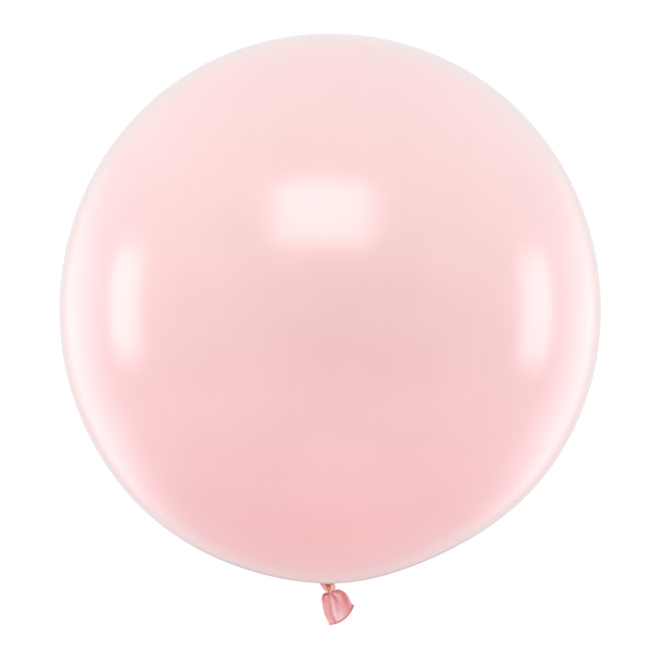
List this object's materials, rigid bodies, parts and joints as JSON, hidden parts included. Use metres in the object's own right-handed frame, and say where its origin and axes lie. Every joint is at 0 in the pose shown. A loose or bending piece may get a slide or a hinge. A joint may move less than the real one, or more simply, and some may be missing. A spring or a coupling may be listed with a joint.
{
  "type": "latex balloon",
  "caption": "Large round inflated latex balloon with a tied knot and a short flared tail with a rolled rim below it.",
  "frame": {"origin": "middle of the neck, where the envelope gathers into the knot and a ribbon is tied", "axes": "+Z from the neck up to the crown, +X to the side the tail leans towards, -Y towards the viewer"},
  "size_m": [1, 1, 1.0922],
  "materials": {
    "stretched_latex": "gloss",
    "slack_latex": "satin"
  },
  "bodies": {
    "envelope": {"envelope": "stretched_latex", "crown_spot": "slack_latex", "throat": "slack_latex"},
    "knot": {"knot_core": "slack_latex", "knot_wrap": "slack_latex"},
    "tail": {"tail": "slack_latex", "rolled_rim": "slack_latex"}
  },
  "joints": [
    {"name": "neck_twist", "type": "hinge", "parent": "envelope", "child": "knot", "pos_m": [0, 0, 0], "axis": [0, 0, 1], "range_deg": [-90, 90], "stiffness_Nm_per_rad": 0.005},
    {"name": "tail_swing", "type": "hinge", "parent": "knot", "child": "tail", "pos_m": [0.0055, 0, -0.0142], "axis": [0, 1, 0], "range_deg": [-35, 75], "stiffness_Nm_per_rad": 0.002}
  ]
}
